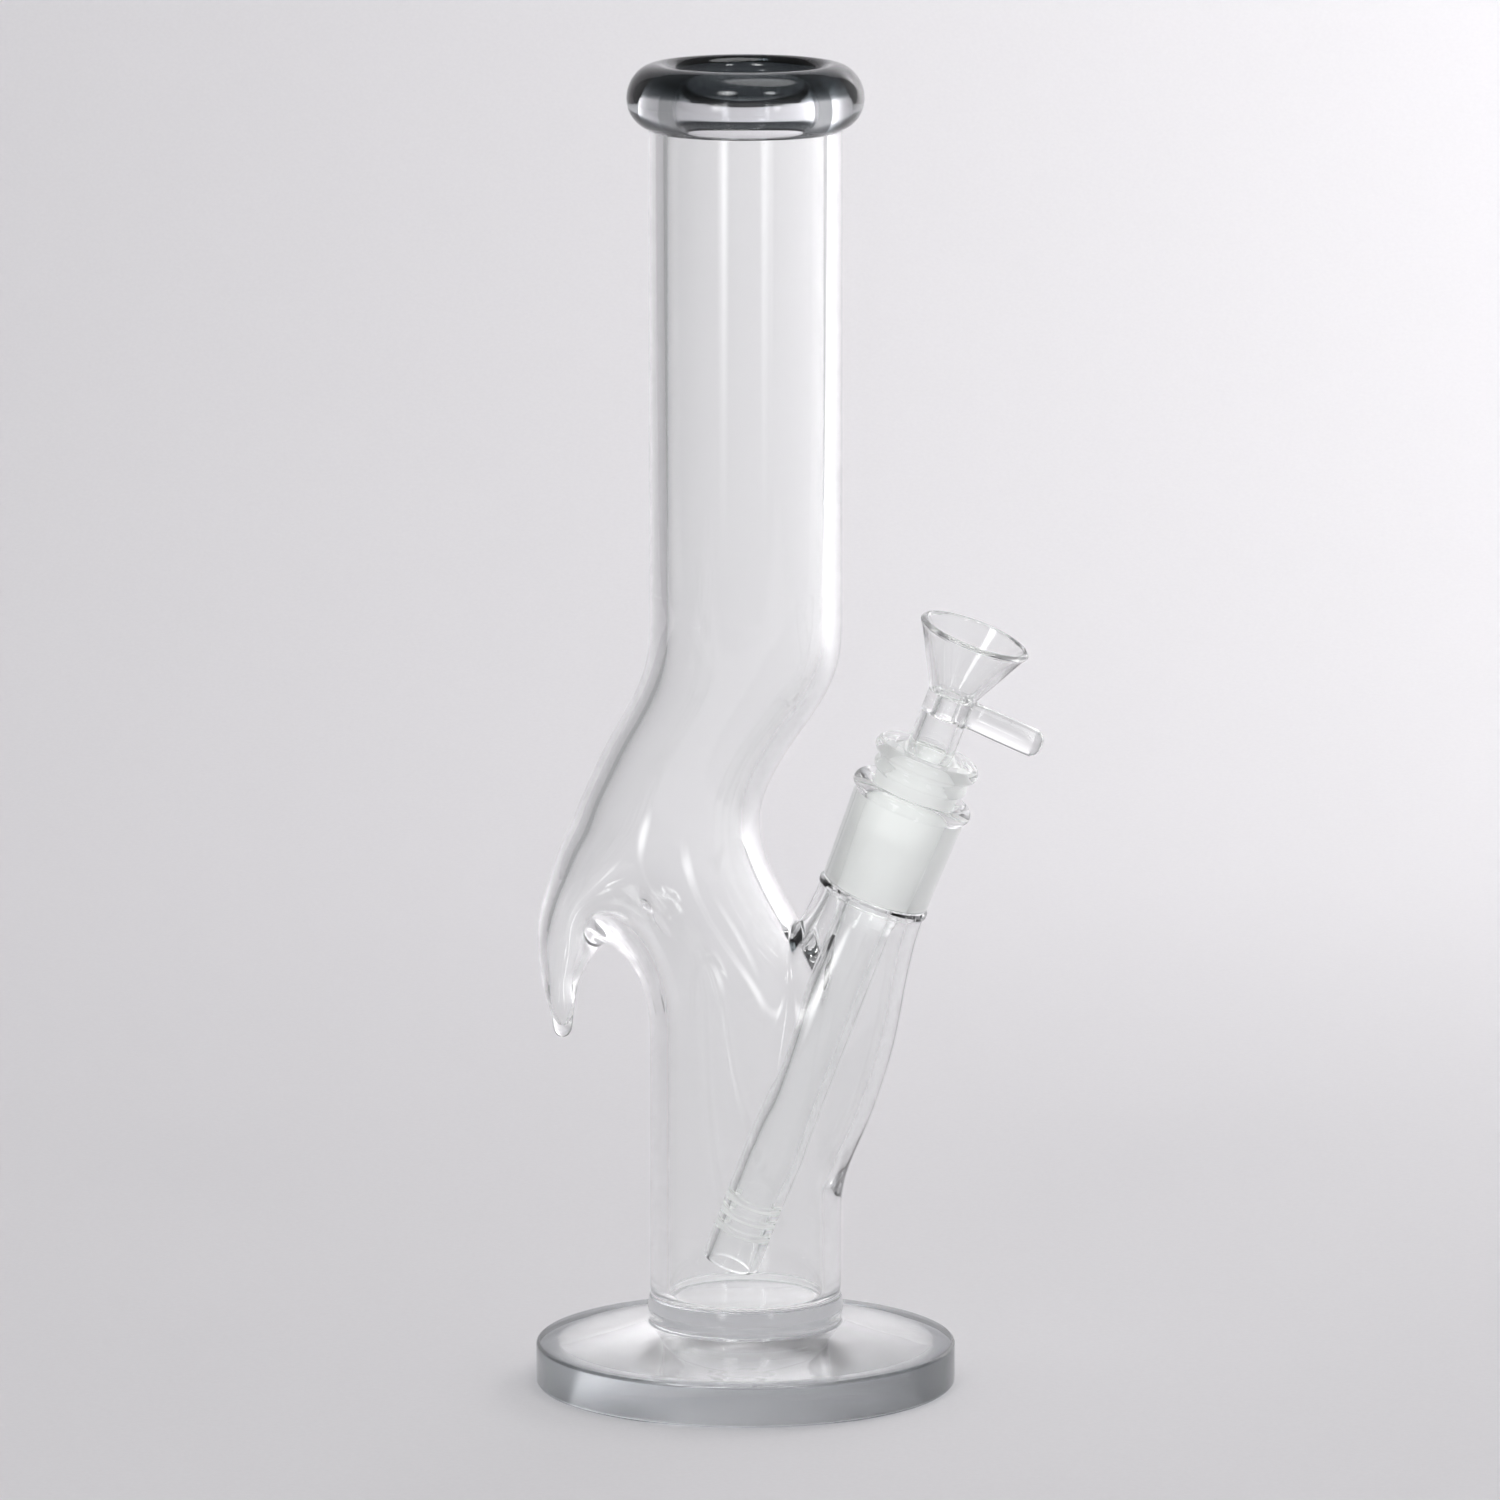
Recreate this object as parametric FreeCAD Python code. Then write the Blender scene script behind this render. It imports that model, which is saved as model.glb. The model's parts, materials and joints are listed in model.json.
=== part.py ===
"""A borosilicate glass water pipe with a bent neck, a drawn hook, and a lift-out downstem and bowl.

Frame: origin at the centre of the foot's underside, +Z up, +X towards the angled socket.
Everything but the hook, the bends and the handle is turned glass, so most pieces are lathe outlines.
All sizes are in millimetres.
"""
import FreeCAD, Part
import math
import os

# ---- driving dimensions ------------------------------------------------------------------
TUBE_OD = 42.0                 # main tube
TUBE_WALL = 4.0
FOOT_OD = 92.4
FOOT_EDGE = 9.5                # height of the foot's edge
FOOT_CROWN = 13.7              # height of the foot where the tube stands on it
FOOT_ROUNDING = 1.2            # rounding of the foot's two edges
FOOT_SWEEP = (31.0, 10.9)      # radius and height half way up the foot's hollow top
CROWN_OUTSET = 1.2             # how far the foot's crown stands out past the tube
SMOKE_RIM_WIDTH = 4.8          # smoked glass band round the foot
FLOOR_THICKNESS = 6.0          # solid glass floor of the water chamber
FLOOR_BULGE = 0.5              # how far the floor's edge swells past the tube
BEND_START = 80.0              # height where the straight chamber ends
BEND_END = 168.0               # height where the straight upper tube begins
TUBE_TOP = 277.5
MOUTH_OD = 51.6                # smoked glass mouth ring
MOUTH_TOP = 291.7
MOUTH_BORE_R = 15.8
MOUTH_BORE_FROM = 279.5        # the ring's straight bore, between its two rounded edges
MOUTH_BORE_TO = 288.0
MOUTH_FLARE = 0.9              # widening of the bore down to the tube's end
MOUTH_LIP = (1.6, 0.5)         # a point on the lip's inner rounding: out from the bore, down from the top

JOINT_TILT = 21.3              # lean of the socket and downstem from vertical, towards +X
JOINT_FOOT_Z = 36.0            # where the joint axis crosses the tube's own axis
JOINT_TAPER = 1 / 20           # a standard 1:10 ground cone loses 1/20 of its length in radius
LARGE_CONE_R = 9.4             # 18.8 mm ground joint, radius at its wide end
SMALL_CONE_R = 7.25            # 14.5 mm ground joint
GRIND_GAP = 0.05               # radial gap between ground faces

# ---- places along the joint axis, measured up from where it crosses the tube's axis --------
TIP_END = -10.0
TIP_START = 12.0               # diffuser tip joins the downstem tube
STEM_NECK = 72.0               # downstem tube reaches its plain diameter
CONE_LOW = 81.0                # small end of the large ground cone
ARM_TOP = 71.5                 # side arm meets the socket's clear tail
SLEEVE_LOW = 80.8              # socket turns from clear to ground glass
SLEEVE_TOP = 102.2
RIM_TOP = 105.6
CUP_LOW = 107.5
CUP_TOP = 114.7
SMALL_CONE_LOW = 95.0
PLUG_TOP = 114.0
THROAT_LOW = 123.3
THROAT_TOP = 128.3
FUNNEL_TOP = 143.2
HANDLE_AT = 126.0

SOCKET_R = 12.0
SOCKET_TAIL_WALL = 2.6
WELD_RING = (0.6, 0.8, 1.8)    # thick ring under the sleeve: bulge, middle and start below the sleeve
SLEEVE_FLARE = 0.7             # the sleeve's outside widens by this much to its top
RIM_BULGE = 1.5
RIM_TOP_OUTSET = 0.5           # the rim's flat top is this much wider than the socket, and its bore too
CUP_GRIP = (10.7, 109.3)       # radius and place of the grip bulge above the socket
CUP_GROOVE = (10.0, 110.9)
CUP_FLANGE_LOW = ((10.9, 111.6), (11.4, 111.9))
CUP_FLANGE_EDGE = (11.8, 113.2)
CUP_TOP_R = 11.0
CUP_LEAD_IN = (0.6, 0.8)       # lead-in of the bowl's seat: outwards, and down from the top
PLUG_FLOOR_DROP = 1.5          # the seat's bottom slopes this far down to the downstem's bore
DOWNSTEM_R = 6.35
DOWNSTEM_BORE_R = 4.6
DOWNSTEM_WAIST = (6.85, 75.5)  # radius and place where the downstem starts to swell to its cone
DOWNSTEM_SHOULDER = (7.4, 79.0)
WELD_STEP = 0.3                # a clear piece starts this much narrower than the ground cone it joins
TIP_LIP = 1.2                  # height of the fire-polished lip
TIP_LIP_R = 5.5                # radius of the lip's lowest ring
STEM_R = 5.25
STEM_SHOULDER = (5.7, 1.2)     # radius, and height above the ground plug, of the bowl stem's shoulder
STEM_SHOULDER_TOP = 3.0        # height above the ground plug where the stem is plain
STEM_BORE_R = 3.6
THROAT_HOLE_R = 1.9
FUNNEL_R = 12.4
FUNNEL_WALL = 1.9
FUNNEL_BEAD = (0.5, 1.0, 1.8)  # rolled rim: how far it stands out, its widest ring and start below the top
FUNNEL_TOP_INSET = 0.9         # the rolled rim's top ring is this much narrower than its widest
HANDLE_R = 3.05
HANDLE_REACH = 22.6
SLIT_WIDTH = 1.3
SLIT_PITCH = 3.45
SLIT_COUNT = 3
SLIT_START = 8.0               # lowest slit, above the tip's end
SLIT_LEFT = 4.2                # glass that each saw cut leaves on the far side

TUBE_R = TUBE_OD / 2
FLOOR_TOP = FOOT_CROWN + FLOOR_THICKNESS

# Bends of the tube, from the chamber up: centre x, height z, lean from vertical in degrees, and
# half depth in the plane of the bend. Bending flattens the tube, but it keeps its width along Y.
BEND_SECTIONS = [
    (0.0, BEND_START, 0.0, 21.0),
    (-1.8, 89.0, -16.0, 21.0),
    (-6.5, 97.5, -29.0, 20.8),
    (-12.0, 105.5, -28.0, 20.5),
    (-16.6, 114.5, -18.0, 20.3),
    (-18.3, 122.5, -3.0, 20.0),
    (-17.2, 130.0, 16.0, 18.6),
    (-13.6, 137.5, 28.0, 17.8),
    (-8.9, 145.5, 30.5, 17.6),
    (-4.3, 153.5, 27.0, 18.6),
    (-1.2, 160.5, 13.0, 20.3),
    (0.0, BEND_END, 0.0, 21.0),
]

# The hook, from its root inside the tube to its tip: centre x, height z, lean, radius, wall.
HOOK_SECTIONS = [
    (-21.0, 120.0, 32.0, 17.2, 4.0),
    (-29.0, 111.8, 40.0, 14.2, 3.9),
    (-36.3, 104.3, 45.0, 10.2, 3.5),
    (-40.9, 95.6, 16.0, 6.4, 2.7),
    (-42.2, 88.8, 3.0, 4.4, 2.2),
    (-42.3, 82.0, -2.0, 2.9, 1.8),
]
HOOK_TIP = (-42.2, 76.5)
HOOK_TIP_R = 1.9

# The side arm widens downwards until it blends into the chamber: place on the axis, radius.
ARM_SECTIONS = [(ARM_TOP, 12.1), (65.0, 13.1), (54.0, 15.1), (44.0, 16.7), (35.0, 17.2), (19.0, 16.6)]
ARM_WALL = 3.0


# ---- helpers -----------------------------------------------------------------------------
def lathe(start, *steps):
    """Solid of revolution about Z. A step is (r, z) for a line or ((r, z), (r, z)) for an arc."""
    edges = []
    here = FreeCAD.Vector(start[0], 0, start[1])
    for step in steps + (start,):
        if isinstance(step[0], tuple):
            middle = FreeCAD.Vector(step[0][0], 0, step[0][1])
            there = FreeCAD.Vector(step[1][0], 0, step[1][1])
            edges.append(Part.Arc(here, middle, there).toShape())
        else:
            there = FreeCAD.Vector(step[0], 0, step[1])
            if there.distanceToPoint(here) < 1e-6:
                continue
            edges.append(Part.makeLine(here, there))
        here = there
    face = Part.Face(Part.Wire(edges))
    return face.revolve(FreeCAD.Vector(0, 0, 0), FreeCAD.Vector(0, 0, 1), 360)


def cylinder(radius, low, high):
    return Part.makeCylinder(radius, high - low, FreeCAD.Vector(0, 0, low))


def ring_wire(x, z, lean, radius, width_radius=None):
    """A ring centred in the XZ plane, its axis leaning from +Z towards +X.

    It is a circle, or an oval where width_radius gives its half width along Y.
    """
    wire = Part.Wire(Part.Circle(FreeCAD.Vector(0, 0, 0), FreeCAD.Vector(0, 0, 1), radius).toShape())
    if width_radius is not None:
        widen = FreeCAD.Matrix()
        widen.A22 = width_radius / radius
        wire = wire.transformGeometry(widen)
    turn = FreeCAD.Rotation(FreeCAD.Vector(0, 1, 0), lean)
    wire.Placement = FreeCAD.Placement(FreeCAD.Vector(x, 0, z), turn)
    return wire


def loft(sections):
    return Part.makeLoft([ring_wire(*section) for section in sections], True, False)


def on_joint_axis(shape):
    """Leans a shape that was turned about Z onto the socket's axis."""
    turn = FreeCAD.Rotation(FreeCAD.Vector(0, 1, 0), JOINT_TILT)
    placed = shape.copy()
    placed.Placement = FreeCAD.Placement(FreeCAD.Vector(0, 0, JOINT_FOOT_Z), turn)
    return placed


def large_cone(place):
    """Radius of the downstem's ground cone at a place on the joint axis."""
    return LARGE_CONE_R - (CUP_LOW - place) * JOINT_TAPER


def small_cone(place):
    """Radius of the bowl's ground cone at a place on the joint axis."""
    return SMALL_CONE_R - (PLUG_TOP - place) * JOINT_TAPER


def save(name, shape):
    shape = shape.removeSplitter()
    solids = Part.makeCompound(shape.Solids) if len(shape.Solids) > 1 else shape.Solids[0]
    solids.exportStep("parts/%s.step" % name)
    state = "valid" if shape.isValid() else "INVALID"
    print(name, len(shape.Solids), "solid", round(shape.Volume), "mm3", state)


# ---- body --------------------------------------------------------------------------------
def foot_disc():
    clear_r = FOOT_OD / 2 - SMOKE_RIM_WIDTH
    return lathe((0, 0), (clear_r, 0), (clear_r, FOOT_EDGE),
                 (FOOT_SWEEP, (TUBE_R + CROWN_OUTSET, FOOT_CROWN)), (0, FOOT_CROWN))


def foot_smoke_rim():
    outer = FOOT_OD / 2
    inner = outer - SMOKE_RIM_WIDTH
    edge = FOOT_ROUNDING
    nick = edge * (1 - math.sqrt(0.5))
    return lathe((inner, 0), (outer - edge, 0), ((outer - nick, nick), (outer, edge)),
                 (outer, FOOT_EDGE - edge), ((outer - nick, FOOT_EDGE - nick), (outer - edge, FOOT_EDGE)),
                 (inner, FOOT_EDGE))


def tube_floor():
    swell = (TUBE_R + FLOOR_BULGE, (FOOT_CROWN + FLOOR_TOP) / 2)
    return lathe((0, FOOT_CROWN), (TUBE_R, FOOT_CROWN), (swell, (TUBE_R, FLOOR_TOP)), (0, FLOOR_TOP))


def tube_solid(wall):
    """The main tube as a full solid; wall takes that much off its radius."""
    bends = [(x, z, lean, radius - wall, TUBE_R - wall) for x, z, lean, radius in BEND_SECTIONS]
    chamber = cylinder(TUBE_R - wall, FLOOR_TOP, BEND_START)
    upper = cylinder(TUBE_R - wall, BEND_END, TUBE_TOP)
    return chamber.fuse([loft(bends), upper])


def hook_outside():
    sections = [(x, z, lean, radius) for x, z, lean, radius, wall in HOOK_SECTIONS]
    sections.append(HOOK_TIP + (0.0, HOOK_TIP_R))
    tip = Part.makeSphere(HOOK_TIP_R, FreeCAD.Vector(HOOK_TIP[0], 0, HOOK_TIP[1]))
    return loft(sections).fuse(tip)


def hook_inside():
    return loft([(x, z, lean, radius - wall) for x, z, lean, radius, wall in HOOK_SECTIONS])


def arm_solid(wall):
    """The side arm as a full solid of revolution, reaching down into the chamber."""
    wires = [ring_wire(0, place, 0, radius - wall) for place, radius in ARM_SECTIONS]
    return on_joint_axis(Part.makeLoft(wires, True, False))


def body_outside():
    return tube_solid(0).fuse(hook_outside()).removeSplitter()


def body_tube():
    shell = body_outside().cut(tube_solid(TUBE_WALL)).cut(hook_inside())
    return shell.cut(arm_solid(ARM_WALL))


def side_arm():
    return arm_solid(0).cut(arm_solid(ARM_WALL)).cut(body_outside())


def mouth_ring():
    outer = MOUTH_OD / 2
    middle = (TUBE_TOP + MOUTH_TOP) / 2
    inner = MOUTH_BORE_R
    lip = (inner + MOUTH_LIP[0], MOUTH_TOP - MOUTH_LIP[1])
    return lathe((inner + MOUTH_FLARE, TUBE_TOP), (TUBE_R, TUBE_TOP), ((outer, middle), (TUBE_R, MOUTH_TOP)),
                 (lip, (inner, MOUTH_BORE_TO)), (inner, MOUTH_BORE_FROM))


# ---- socket ------------------------------------------------------------------------------
def socket_tail():
    """Clear end of the socket, with the thick ring of glass where the ground sleeve begins."""
    bore = SOCKET_R - SOCKET_TAIL_WALL
    bulge, middle, start = WELD_RING
    return on_joint_axis(lathe(
        (bore, ARM_TOP), (ARM_SECTIONS[0][1], ARM_TOP), (SOCKET_R, SLEEVE_LOW - start),
        ((SOCKET_R + bulge, SLEEVE_LOW - middle), (SOCKET_R, SLEEVE_LOW)), (bore, SLEEVE_LOW)))


def socket_sleeve():
    low_r = large_cone(SLEEVE_LOW) + GRIND_GAP
    top_r = large_cone(SLEEVE_TOP) + GRIND_GAP
    return on_joint_axis(lathe((low_r, SLEEVE_LOW), (SOCKET_R, SLEEVE_LOW),
                               (SOCKET_R + SLEEVE_FLARE, SLEEVE_TOP), (top_r, SLEEVE_TOP)))


def socket_rim():
    low_r = large_cone(SLEEVE_TOP) + GRIND_GAP
    swell = (SOCKET_R + RIM_BULGE, (SLEEVE_TOP + RIM_TOP) / 2)
    return on_joint_axis(lathe(
        (low_r, SLEEVE_TOP), (SOCKET_R + SLEEVE_FLARE, SLEEVE_TOP),
        (swell, (SOCKET_R + RIM_TOP_OUTSET, RIM_TOP)), (low_r + RIM_TOP_OUTSET, RIM_TOP)))


# ---- downstem ----------------------------------------------------------------------------
def downstem_plug():
    seat_top = small_cone(CUP_LOW) + GRIND_GAP
    seat_low = small_cone(SMALL_CONE_LOW) + GRIND_GAP
    return on_joint_axis(lathe(
        (DOWNSTEM_BORE_R, CONE_LOW), (large_cone(CONE_LOW), CONE_LOW), (large_cone(CUP_LOW), CUP_LOW),
        (seat_top, CUP_LOW), (seat_low, SMALL_CONE_LOW), (DOWNSTEM_BORE_R, SMALL_CONE_LOW - PLUG_FLOOR_DROP)))


def downstem_cup():
    """Grip bulge, groove and flange above the socket, with the bowl's ground seat inside."""
    seat_low = small_cone(CUP_LOW) + GRIND_GAP
    seat_top = small_cone(CUP_TOP) + GRIND_GAP
    lead_out, lead_down = CUP_LEAD_IN
    return on_joint_axis(lathe(
        (seat_low, CUP_LOW), (LARGE_CONE_R, CUP_LOW), (CUP_GRIP, CUP_GROOVE), CUP_FLANGE_LOW,
        (CUP_FLANGE_EDGE, (CUP_TOP_R, CUP_TOP)), (seat_top + lead_out, CUP_TOP),
        (seat_top, CUP_TOP - lead_down)))


def downstem_tube():
    return on_joint_axis(lathe(
        (DOWNSTEM_BORE_R, TIP_START), (DOWNSTEM_R, TIP_START), (DOWNSTEM_R, STEM_NECK),
        (DOWNSTEM_WAIST, DOWNSTEM_SHOULDER), (large_cone(CONE_LOW) - WELD_STEP, CONE_LOW),
        (DOWNSTEM_BORE_R, CONE_LOW)))


def diffuser_tip():
    """Open end of the downstem with a fire-polished lip and cross slits sawn from one side."""
    lip = TIP_END + TIP_LIP
    tube = lathe((DOWNSTEM_BORE_R, lip), ((TIP_LIP_R, TIP_END), (DOWNSTEM_R, lip)),
                 (DOWNSTEM_R, TIP_START), (DOWNSTEM_BORE_R, TIP_START))
    for number in range(SLIT_COUNT):
        corner = FreeCAD.Vector(-DOWNSTEM_R, -DOWNSTEM_R, TIP_END + SLIT_START + number * SLIT_PITCH)
        tube = tube.cut(Part.makeBox(2 * DOWNSTEM_R, 2 * DOWNSTEM_R - SLIT_LEFT, SLIT_WIDTH, corner))
    return on_joint_axis(tube)


# ---- bowl --------------------------------------------------------------------------------
def bowl_plug():
    return on_joint_axis(lathe((STEM_BORE_R, SMALL_CONE_LOW), (small_cone(SMALL_CONE_LOW), SMALL_CONE_LOW),
                               (small_cone(PLUG_TOP), PLUG_TOP), (STEM_BORE_R, PLUG_TOP)))


def bowl_stem():
    shoulder = (STEM_SHOULDER[0], PLUG_TOP + STEM_SHOULDER[1])
    return on_joint_axis(lathe((STEM_BORE_R, PLUG_TOP), (small_cone(PLUG_TOP) - WELD_STEP, PLUG_TOP),
                               (shoulder, (STEM_R, PLUG_TOP + STEM_SHOULDER_TOP)), (STEM_R, THROAT_LOW),
                               (STEM_BORE_R, THROAT_LOW)))


def bowl_throat():
    return on_joint_axis(lathe((THROAT_HOLE_R, THROAT_LOW), (STEM_R, THROAT_LOW), (STEM_R, THROAT_TOP),
                               (THROAT_HOLE_R, THROAT_TOP)))


def bowl_funnel():
    bulge, middle, start = FUNNEL_BEAD
    bead = FUNNEL_TOP - middle
    return on_joint_axis(lathe(
        (THROAT_HOLE_R, THROAT_TOP), (STEM_R, THROAT_TOP), (FUNNEL_R - bulge, FUNNEL_TOP - start),
        ((FUNNEL_R, bead), (FUNNEL_R - FUNNEL_TOP_INSET, FUNNEL_TOP)), (FUNNEL_R - FUNNEL_WALL, bead)))


def bowl_handle():
    """A glass rod whose root is cut to sit against the stem, the throat and the funnel."""
    rod = Part.makeCylinder(HANDLE_R, HANDLE_REACH, FreeCAD.Vector(0, 0, HANDLE_AT), FreeCAD.Vector(1, 0, 0))
    inside_funnel = lathe((0, THROAT_TOP), (STEM_R, THROAT_TOP),
                          (FUNNEL_R - FUNNEL_BEAD[0], FUNNEL_TOP - FUNNEL_BEAD[2]), (0, FUNNEL_TOP))
    return on_joint_axis(rod.cut(cylinder(STEM_R, PLUG_TOP, THROAT_TOP)).cut(inside_funnel))


NODES = [
    foot_disc, foot_smoke_rim, tube_floor, body_tube, side_arm, mouth_ring,
    socket_tail, socket_sleeve, socket_rim,
    downstem_plug, downstem_cup, downstem_tube, diffuser_tip,
    bowl_plug, bowl_stem, bowl_throat, bowl_funnel, bowl_handle,
]

os.makedirs("parts", exist_ok=True)
for node in NODES:
    save(node.__name__, node())
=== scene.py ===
"""Looks of the glass water pipe: fire-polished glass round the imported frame, in a small studio.

Shapes are worked out in millimetres and turned into metres when a mesh is made. Pieces that were
welded together meet at flat faces with the weld material, which light passes without bending, so
that joined glass reads as one body of glass, as it is in the real thing.
"""
import json
import math

import bmesh
import bpy
import numpy as np
from mathutils import Matrix, Vector


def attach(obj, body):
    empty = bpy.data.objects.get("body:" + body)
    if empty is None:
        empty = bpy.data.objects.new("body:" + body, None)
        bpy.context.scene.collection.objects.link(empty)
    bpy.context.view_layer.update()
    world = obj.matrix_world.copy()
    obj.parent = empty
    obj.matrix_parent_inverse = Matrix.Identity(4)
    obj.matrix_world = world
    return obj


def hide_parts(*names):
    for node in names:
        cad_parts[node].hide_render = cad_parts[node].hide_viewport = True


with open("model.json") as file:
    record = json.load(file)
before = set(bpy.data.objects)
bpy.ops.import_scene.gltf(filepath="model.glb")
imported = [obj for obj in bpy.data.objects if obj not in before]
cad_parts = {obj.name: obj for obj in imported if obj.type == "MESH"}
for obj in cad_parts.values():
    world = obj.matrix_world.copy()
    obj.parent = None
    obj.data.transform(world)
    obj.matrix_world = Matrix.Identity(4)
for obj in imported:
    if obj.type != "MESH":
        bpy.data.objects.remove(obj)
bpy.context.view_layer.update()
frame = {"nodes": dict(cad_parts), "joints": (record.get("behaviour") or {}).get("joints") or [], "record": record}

MM = 0.001                     # one millimetre in the scene's metres
ROUND_STEPS = 224              # sides of a turned piece
CURVE_STEPS = 10               # stretches of a curve between two of its points
ARC_STEPS = 7                  # stretches of a rounded corner
SHARP_ANGLE = 28.0             # faces that meet at more than this many degrees show an edge
WELD_GAP = 0.004               # weld faces keep this far apart, so that a ray always meets both
CLEAR, GROUND, WORN, WELD = "clear", "ground", "worn", "weld"

# ---- the frame's own sizes ----------------------------------------------------------------------
joints = {joint["name"]: joint for joint in frame["joints"]}
AXIS_FOOT = np.array(joints["downstem_twist"]["pos_m"]) / MM
AXIS_WAY = np.array(joints["downstem_twist"]["axis"], float)
AXIS_WAY /= np.linalg.norm(AXIS_WAY)
AXIS_TILT = math.atan2(AXIS_WAY[0], AXIS_WAY[2])


def node_points(node):
    """A CAD node's vertices in millimetres."""
    return np.array([v.co for v in frame["nodes"][node].data.vertices], float) / MM


def upright(node):
    """Low z, high z and widest radius of a node turned about the tube's axis."""
    points = node_points(node)
    return points[:, 2].min(), points[:, 2].max(), np.hypot(points[:, 0], points[:, 1]).max()


def leaning(node):
    """Low place, high place, widest and narrowest radius of a node turned about the joint axis."""
    offset = node_points(node) - AXIS_FOOT
    place = offset @ AXIS_WAY
    radius = np.linalg.norm(offset - place[:, None] * AXIS_WAY, axis=1)
    return place.min(), place.max(), radius.max(), radius.min()


_, FOOT_EDGE, FOOT_R = upright("foot_smoke_rim")
CLEAR_FOOT_R = upright("foot_disc")[2]
FOOT_CROWN, FLOOR_TOP, _ = upright("tube_floor")
_, TUBE_TOP, _ = upright("body_tube")
_, MOUTH_TOP, MOUTH_R = upright("mouth_ring")
MOUTH_BORE_R = next(m for m in frame["record"]["mounts"] if m["name"] == "mouth_bore")["dims"]["r_mm"]
TUBE_R, TUBE_WALL = 21.0, 4.0
TUBE_BORE_R = TUBE_R - TUBE_WALL
TAPER = 1 / 20                 # radius that a ground joint gains over its length


# ---- outlines of turned pieces ------------------------------------------------------------------
def corner(r, z, rounding=0.0, finish=CLEAR):
    """One corner of an outline. finish is that of the stretch that ends here."""
    return {"at": np.array([r, z], float), "rounding": rounding, "finish": finish}


def curve(points):
    """Corners along a smooth curve through these (r, z) points."""
    points = [np.array(p, float) for p in points]
    ends = [2 * points[0] - points[1]] + points + [2 * points[-1] - points[-2]]
    made = [points[0]]
    for a, b, c, d in zip(ends, ends[1:], ends[2:], ends[3:]):
        for i in range(1, CURVE_STEPS + 1):
            t = i / CURVE_STEPS
            made.append(0.5 * (2 * b + (c - a) * t + (2 * a - 5 * b + 4 * c - d) * t ** 2
                               + (3 * b - a - 3 * c + d) * t ** 3))
    return [corner(p[0], p[1]) for p in made]


def oval(centre, half_width, half_height, start, end, steps=18):
    """Corners along part of an oval, from one angle to another in degrees, measured from outwards."""
    turns = np.radians(np.linspace(start, end, steps + 1))
    return [corner(centre[0] + half_width * math.cos(t), centre[1] + half_height * math.sin(t))
            for t in turns]


def rounded(corners):
    """The outline's points and finishes, with each rounded corner replaced by an arc."""
    points, finishes = [], []
    count = len(corners)
    for i, here in enumerate(corners):
        at, rounding = here["at"], here["rounding"]
        if rounding <= 0:
            points.append(at)
            finishes.append(here["finish"])
            continue
        back = corners[i - 1]["at"] - at
        ahead = corners[(i + 1) % count]["at"] - at
        back_way, ahead_way = back / np.linalg.norm(back), ahead / np.linalg.norm(ahead)
        half = math.acos(np.clip(back_way @ ahead_way, -1, 1)) / 2
        reach = rounding / math.tan(half)
        middle_way = (back_way + ahead_way) / np.linalg.norm(back_way + ahead_way)
        centre = at + middle_way * rounding / math.sin(half)
        first, last = at + back_way * reach - centre, at + ahead_way * reach - centre
        swing = math.atan2(first[0] * last[1] - first[1] * last[0], first @ last)
        for step in range(ARC_STEPS + 1):
            turn = swing * step / ARC_STEPS
            turned = np.array([first[0] * math.cos(turn) - first[1] * math.sin(turn),
                               first[0] * math.sin(turn) + first[1] * math.cos(turn)])
            points.append(centre + turned)
            finishes.append(CLEAR if step and here["finish"] == WELD else here["finish"])
    return np.array(points), finishes


def joint_placement():
    """The transform from a piece turned about Z onto the joint axis, in millimetres."""
    return Matrix.Translation(Vector(AXIS_FOOT)) @ Matrix.Rotation(AXIS_TILT, 4, "Y")


def finish_mesh(name, points, faces, slots, materials):
    """A mesh object in metres from points in millimetres, with one material slot number per face."""
    mesh = bpy.data.meshes.new(name)
    mesh.from_pydata((np.asarray(points) * MM).tolist(), [], faces)
    for material in materials:
        mesh.materials.append(material)
    mesh.polygons.foreach_set("material_index", np.asarray(slots, np.int32))
    mesh.polygons.foreach_set("use_smooth", np.ones(len(faces), bool))
    mesh.set_sharp_from_angle(angle=math.radians(SHARP_ANGLE))
    mesh.update()
    made = bpy.data.objects.new(name, mesh)
    bpy.context.scene.collection.objects.link(made)
    return made


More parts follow.
